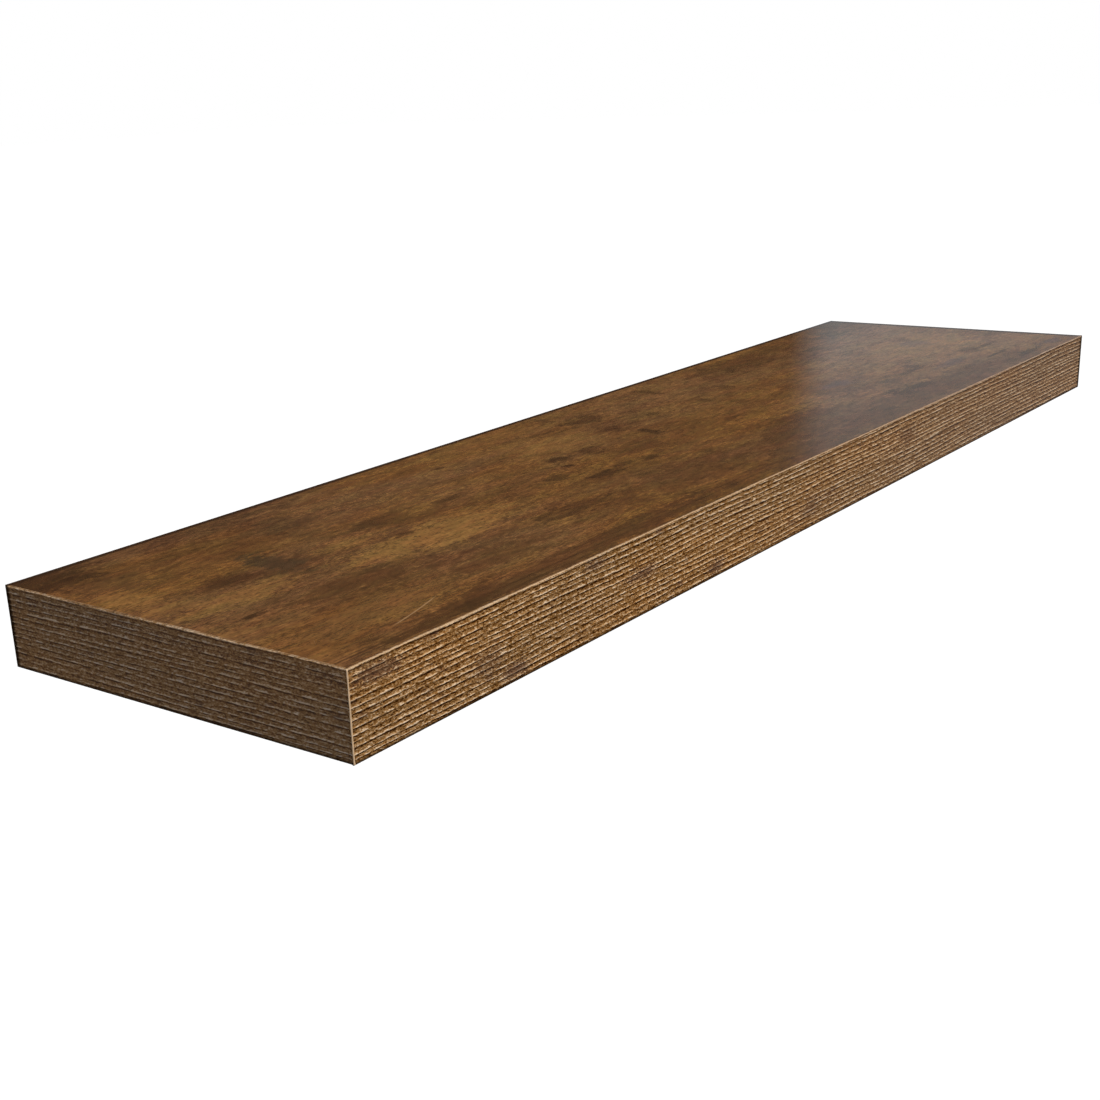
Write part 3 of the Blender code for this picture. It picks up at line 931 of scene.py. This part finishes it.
def makeSheet(name, side, shape):
    # side is 1 for the top sheet and -1 for the bottom one; the bands stand round its edges
    halfY = (board["depth"] - board["band"]) / 2
    endX = board["halfLength"] - board["band"]
    outline = roundLoop((0, -halfY), endX, halfY, shape["corner"], 2)
    holes = []
    if side < 0:
        radius = shape["lockHole"]
        holes = [roundLoop(hole, radius, radius, radius, 10) for _, *hole in board["locks"]]
    outside = board["halfThick"]
    low, high = sorted((side * (outside - shape["thick"]), side * outside))
    piece = flatPiece(name, outline, holes, low, high, shape["arris"], 2)
    piece.data.materials.append(printMaterial)
    piece.data.materials.append(fibreboardMaterial)
    skin = outside - 2 * shape["arris"]
    for face in piece.data.polygons:
        height = min(side * piece.data.vertices[k].co.z for k in face.vertices)
        face.material_index = 0 if height > skin else 1
    return piece


for name, node, side in (("topSheet", "top_panel", 1), ("bottomSheet", "bottom_panel", -1)):
    sheet = makeSheet(name, side, sheetShape)
    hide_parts(node)
    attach(sheet, "board")
print("sheets made")


plateShape = {
    "halfX": 0.350,
    "halfZ": 0.014,
    "corner": 0.004,
    "thick": 0.003,
    "edge": 0.0005,
    "slotHalfWidth": 0.00325,
    "slotHalfLength": 0.007,
    "uprightSlots": (-0.320, 0.320),
    "levelSlots": (-0.203, -0.080, 0.080, 0.203),
}
towardsRoom = Matrix.Rotation(math.radians(90), 4, "X")  # turns local Z out from the wall


def makeWallPlate(shape):
    outline = roundLoop((0, 0), shape["halfX"], shape["halfZ"], shape["corner"], 8)
    wide, long = shape["slotHalfWidth"], shape["slotHalfLength"]
    slots = [roundLoop((x, 0), wide, long, wide, 8) for x in shape["uprightSlots"]]
    slots += [roundLoop((x, 0), long, wide, wide, 8) for x in shape["levelSlots"]]
    piece = flatPiece("wallPlate", outline, slots, 0.0, shape["thick"], shape["edge"], 4)
    piece.data.transform(towardsRoom)
    piece.data.materials.append(makePlateMaterial(metalLook, shape))
    return piece


wallPlate = makeWallPlate(plateShape)
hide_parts("wall_plate")
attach(wallPlate, "bracket")
print("wall plate made")


# turned pieces: rods with their weld, threaded inserts and grub screws

def hexRadius(flat, angle):
    # distance from the middle to a hexagon's side, for a half width across flats
    return flat / math.cos((angle % math.radians(60)) - math.radians(30))


def turnedPiece(name, profile, segments, closed=False):
    # profile: (radius, height) pairs up the outside; "hex" as a third entry makes that ring
    # hexagonal; a radius of 0 closes an end, and closed joins the last ring to the first
    mesh = bmesh.new()
    rings = []
    for radius, height, *shape in profile:
        ring = []
        for k in range(segments if radius else 1):
            angle = 2 * math.pi * k / segments
            reach = hexRadius(radius, angle) if shape else radius
            corner = (reach * math.cos(angle), reach * math.sin(angle), height)
            ring.append(mesh.verts.new(corner))
        rings.append(ring)
    if closed:
        rings.append(rings[0])
    for lower, upper in zip(rings, rings[1:]):
        bridge(mesh, lower, upper)
    return keepMesh(mesh, name)


def radialTree(name, extra, offsetOf):
    # tree that moves points in or out from the local Z axis by what offsetOf works out
    def work(geometry, depth, start, end, least, most, count, finish):
        x, y, z = split(put("GeometryNodeInputPosition", {}, tree=geometry.tree))
        flat = join(x, y)
        radius = vectorCalc("LENGTH", flat, output=1)
        turn = calc("ARCTAN2", y, x) / (2 * math.pi)
        inside = calc("GREATER_THAN", radius, least) * calc("LESS_THAN", radius, most)
        amount = offsetOf(start, end, count, turn, z) * depth * inside
        return finishShape(geometry, scaled(vectorCalc("NORMALIZE", flat), amount), finish)

    inputs = {"Geometry": "Geometry", "Depth": 0.0002, "From": 0.0, "To": 0.01}
    inputs |= {"Least radius": 0.0, "Most radius": 1.0, **extra, "Finish": "Material"}
    return makeGroup(name, work, inputs, "GeometryNodeTree")


def threadOffset(start, end, pitch, turn, z):
    # helical groove, 0 on the crest and -1 at the root, running out at both ends
    saw = abs(calc("FRACT", z / pitch - turn) - 0.5)
    runOut = pitch * 0.6
    fade = ease(z, start, start + runOut) * ease(z, end, end - runOut)
    return spread(saw, 0.07, 0.43, 0.0, -1.0) * fade


def weldOffset(start, end, count, turn, z):
    # overlapping ripples of a hand-laid fillet weld, strongest half-way up it
    height = spread(z, start, end)
    lean = (height - 0.5) * 1.6
    saw = calc("FRACT", turn * count + lean * lean)
    ripple = smaller(ease(saw, 0.0, 0.25), ease(saw, 1.0, 0.3))
    bow = height * (1.0 - height)
    return (ripple - 0.3) * (bow * 4.0 * calc("GREATER_THAN", bow, 0.0))


hair = 0.00001  # metres, finer than any detail: sets the radii that a tree moves apart
threadTree = radialTree("thread", {"Pitch": 0.001}, threadOffset)
weldTree = radialTree("weldRipples", {"Count": 24.0}, weldOffset)

rodShape = {
    "places": (("left", -0.250), ("centre", 0.0), ("right", 0.250)),
    "foot": -0.0033,
    "length": 0.1494,
    "radius": 0.006,
    "tipChamfer": 0.0015,
    "weldLeg": 0.003,
    "ripples": 24.0,
    "rippleDepth": 0.0004,
    "segments": 72,
}


def rodProfile(shape):
    radius, leg = shape["radius"], shape["weldLeg"]
    length, chamfer = shape["length"], shape["tipChamfer"]
    profile = [(0, 0.0)]
    weldRows = [k / 16 for k in range(17)]
    profile += [(radius + leg * (1 - share) ** 1.35, leg * share) for share in weldRows]
    profile += [(radius, length * share) for share in (0.05, 0.3, 0.6, 0.9)]
    for share in (0, 0.25, 0.5, 0.75, 1):  # the chamfer has softened shoulders
        height = length - chamfer + chamfer * share ** 0.9
        profile.append((radius - chamfer * share ** 1.2, height))
    profile.append((0, length))
    return profile


rodMaterial = makeRodMaterial(metalLook, rodShape)
for side, x in rodShape["places"]:
    rod = turnedPiece(side + "Rod", rodProfile(rodShape), rodShape["segments"])
    ripples = {"From": 0.0, "To": rodShape["weldLeg"], "Least radius": rodShape["radius"] + hair}
    ripples |= {"Count": rodShape["ripples"], "Depth": rodShape["rippleDepth"]}
    runTree(rod, weldTree, {**ripples, "Finish": rodMaterial})
    rod.data.transform(Matrix.Translation((x, rodShape["foot"], 0)) @ towardsRoom)
    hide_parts(side + "_rod")
    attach(rod, "bracket")
print("rods made")


insertShape = {
    "foot": -0.0187,
    "length": 0.009,
    "outer": 0.005,
    "inner": 0.0033,
    "lip": 0.0004,
    "barb": 0.0005,
    "barbs": 4,
    "pitch": 0.001,
    "threadDepth": 0.0002,
    "rows": 64,
    "segments": 60,
}
screwShape = {
    "foot": -0.0163,
    "length": 0.010,
    "radius": 0.003,
    "headChamfer": 0.0006,
    "point": 0.0012,
    "socketFlat": 0.0015,  # half the width across flats
    "socketDepth": 0.0035,
    "pitch": 0.001,
    "threadDepth": 0.00042,
    "rows": 88,
    "segments": 48,
}


def insertProfile(shape):
    # up the inside, then down over the barbs
    inner, outer, length = shape["inner"], shape["outer"], shape["length"]
    lip, rows = shape["lip"], shape["rows"]
    profile = [(inner + lip, 0.0)]
    profile += [(inner, lip + (length - 2 * lip) * k / rows) for k in range(rows + 1)]
    profile.append((inner + lip, length))
    rise = length / shape["barbs"]
    for k in range(shape["barbs"]):
        top = length - k * rise
        for share in (0.0, 0.35, 0.7, 0.93, 1.0):
            bulge = shape["barb"] * (1 - share ** 1.4)
            edge = 0.00008 if share == 1.0 else 0.0
            profile.append((outer - bulge - edge, top - rise * share * 0.98))
        if k < shape["barbs"] - 1:
            profile.append((outer - shape["barb"], top - rise))
    profile.append((outer - 0.0002, 0.0))
    return profile


def screwProfile(shape):
    # from the middle of the socket's floor, down its sides and up the thread to the point
    radius, length, point = shape["radius"], shape["length"], shape["point"]
    flat, deep, rows = shape["socketFlat"], shape["socketDepth"], shape["rows"]
    start, end = shape["headChamfer"], length - point
    profile = [(0, deep + 0.0006), (flat * 0.97, deep, "hex"), (flat, deep - 0.0002, "hex")]
    profile += [(flat, 0.0003, "hex"), (flat + 0.00025, 0.0), (radius - start, 0.0)]
    profile += [(radius, start + (end - start) * k / rows) for k in range(rows + 1)]
    profile += [(radius - point * 0.5, length - point * 0.5), (radius - point, length)]
    # the cup that bites on the rod
    return profile + [(radius * 0.35, length - 0.0004), (0, length - 0.0005)]


def threadedPiece(name, shape, profile, ends, reach, finish, place, closed=False):
    # ends: heights that the thread runs between; reach: the limit to the radii it is cut in
    piece = turnedPiece(name, profile, shape["segments"], closed)
    values = {"From": ends[0], "To": ends[1], "Pitch": shape["pitch"]}
    runTree(piece, threadTree, {**values, **reach, "Depth": shape["threadDepth"], "Finish": finish})
    piece.data.transform(Matrix.Translation((*place, shape["foot"])))
    return piece


def makeInsert(name, shape, place):
    ends = (shape["lip"], shape["length"] - shape["lip"])
    reach = {"Most radius": shape["inner"] + hair}
    profile = insertProfile(shape)
    return threadedPiece(name, shape, profile, ends, reach, zincMaterial, place, closed=True)


def makeScrew(name, shape, place):
    ends = (shape["headChamfer"], shape["length"] - shape["point"])
    reach = {"Least radius": shape["radius"] - hair}
    return threadedPiece(name, shape, screwProfile(shape), ends, reach, oxideMaterial, place)


for side, *place in board["locks"]:
    insert = makeInsert(side + "Insert", insertShape, place)
    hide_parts(side + "_lock_insert")
    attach(insert, "board")
    screw = makeScrew(side + "Screw", screwShape, place)
    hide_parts(side + "_lock_screw")
    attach(screw, side + "_lock")
print("inserts and grub screws made")


# the batten frame and the paper core keep their own shapes and get their finish

for name, node in cadNodes.items():
    finish = None
    if name.endswith(("_rail", "_rod_block")):
        finish = chipboardMaterial
    if name.endswith("_honeycomb"):
        finish = kraftMaterial
    if finish:
        for slot in node.material_slots:
            slot.material = finish
print("battens and core dressed")


# studio: pale floor, white surroundings, a soft sun and one card

studio = {
    "floorHeight": -1.1,
    "floorReach": 40,
    "floorColour": (0.25, 0.25, 0.25),
    "floorGlow": 0.77,
    "fill": 0.41,
    "fillColour": (0.88, 1.0, 1.26),
    "keyStrength": 3.0,
    "keyColour": (1.0, 0.94, 0.82),
    "keyTurn": (33, 0, 7),  # degrees: down from overhead, then round towards the right
    "keySoftness": 16,
    "cardReach": 3.0,
    "cardBack": 0.004,
    "cardHeights": (-0.019, 0.9),
    "cardEdge": (0.326, 0.418),  # x where the card starts to turn pale, and where it is pale
    "paleCard": (0.379, 0.241),  # near the board, then higher up
    "paleHeights": (0.02, 0.16),
    "darkCard": 0.010,
    "cardColour": (0.02, 0.02, 0.02),
    "cardTint": (0.78, 0.935, 1.04),
}


def backgroundRays(tree):
    # 1 for the rays that show the white background: seen, mirrored or looked through
    rays = tree.nodes.new("ShaderNodeLightPath").outputs
    kinds = ("Camera", "Transmission", "Glossy")
    seen, through, mirrored = (Field(tree, rays[f"Is {kind} Ray"]) for kind in kinds)
    return larger(larger(seen, through), mirrored)


def makeWorld(setup):
    world = bpy.data.worlds.new("studio")
    world.use_nodes = True
    seen = backgroundRays(world.node_tree)
    level = spread(seen, 0.0, 1.0, setup["fill"], 1.0)
    colour = blend(seen, setup["fillColour"], (1, 1, 1))
    feed(world.node_tree.nodes["Background"], {"Color": colour, "Strength": level})
    scene.world = world


def makePlane(name, low, high, material):
    # level or upright rectangle between two opposite corners
    corners = [low, (high[0], *low[1:]), high, (low[0], *high[1:])]
    mesh = bpy.data.meshes.new(name)
    mesh.from_pydata(corners, [], [(0, 1, 2, 3)])
    mesh.materials.append(material)
    plane = addObject(name, mesh)
    plane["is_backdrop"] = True
    return plane


def finishGlow(material, base, roughness, glow, strength):
    inputs = {"Base Color": base, "Roughness": roughness, "Emission Color": glow}
    feed(material.node_tree.nodes["Principled BSDF"], {**inputs, "Emission Strength": strength})


def makeFloor(setup):
    material, _ = newMaterial("paleFloor", 0.0)
    strength = backgroundRays(material.node_tree) * setup["floorGlow"]
    finishGlow(material, setup["floorColour"], 0.9, (1, 1, 1), strength)
    reach, z = setup["floorReach"], setup["floorHeight"]
    makePlane("floor", (-reach, -reach, z), (reach, reach, z), material)


def makeCard(setup):
    # upright card behind the board, seen only in the gloss of its top: dark, then softly
    # turning pale towards the far end, and paler near the board
    material, place = newMaterial("studioCard", 0.0)
    x, _, z = split(place)
    pale = spread(z, *setup["paleHeights"], *setup["paleCard"])
    strength = larger(pale * ease(x, *setup["cardEdge"]), setup["darkCard"])
    finishGlow(material, setup["cardColour"], 1.0, setup["cardTint"], strength)
    reach, y, (low, high) = setup["cardReach"], setup["cardBack"], setup["cardHeights"]
    card = makePlane("studioCard", (-reach, y, low), (reach, y, high), material)
    for rays in ("camera", "diffuse", "shadow", "transmission"):
        setattr(card, "visible_" + rays, False)


def makeKey(setup):
    data = bpy.data.lights.new("keyLamp", "SUN")
    data.energy = setup["keyStrength"]
    data.angle = math.radians(setup["keySoftness"])
    data.color = setup["keyColour"]
    addObject("keyLamp", data, turn=setup["keyTurn"])


makeWorld(studio)
makeFloor(studio)
makeCard(studio)
makeKey(studio)

print("scene done")
low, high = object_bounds()
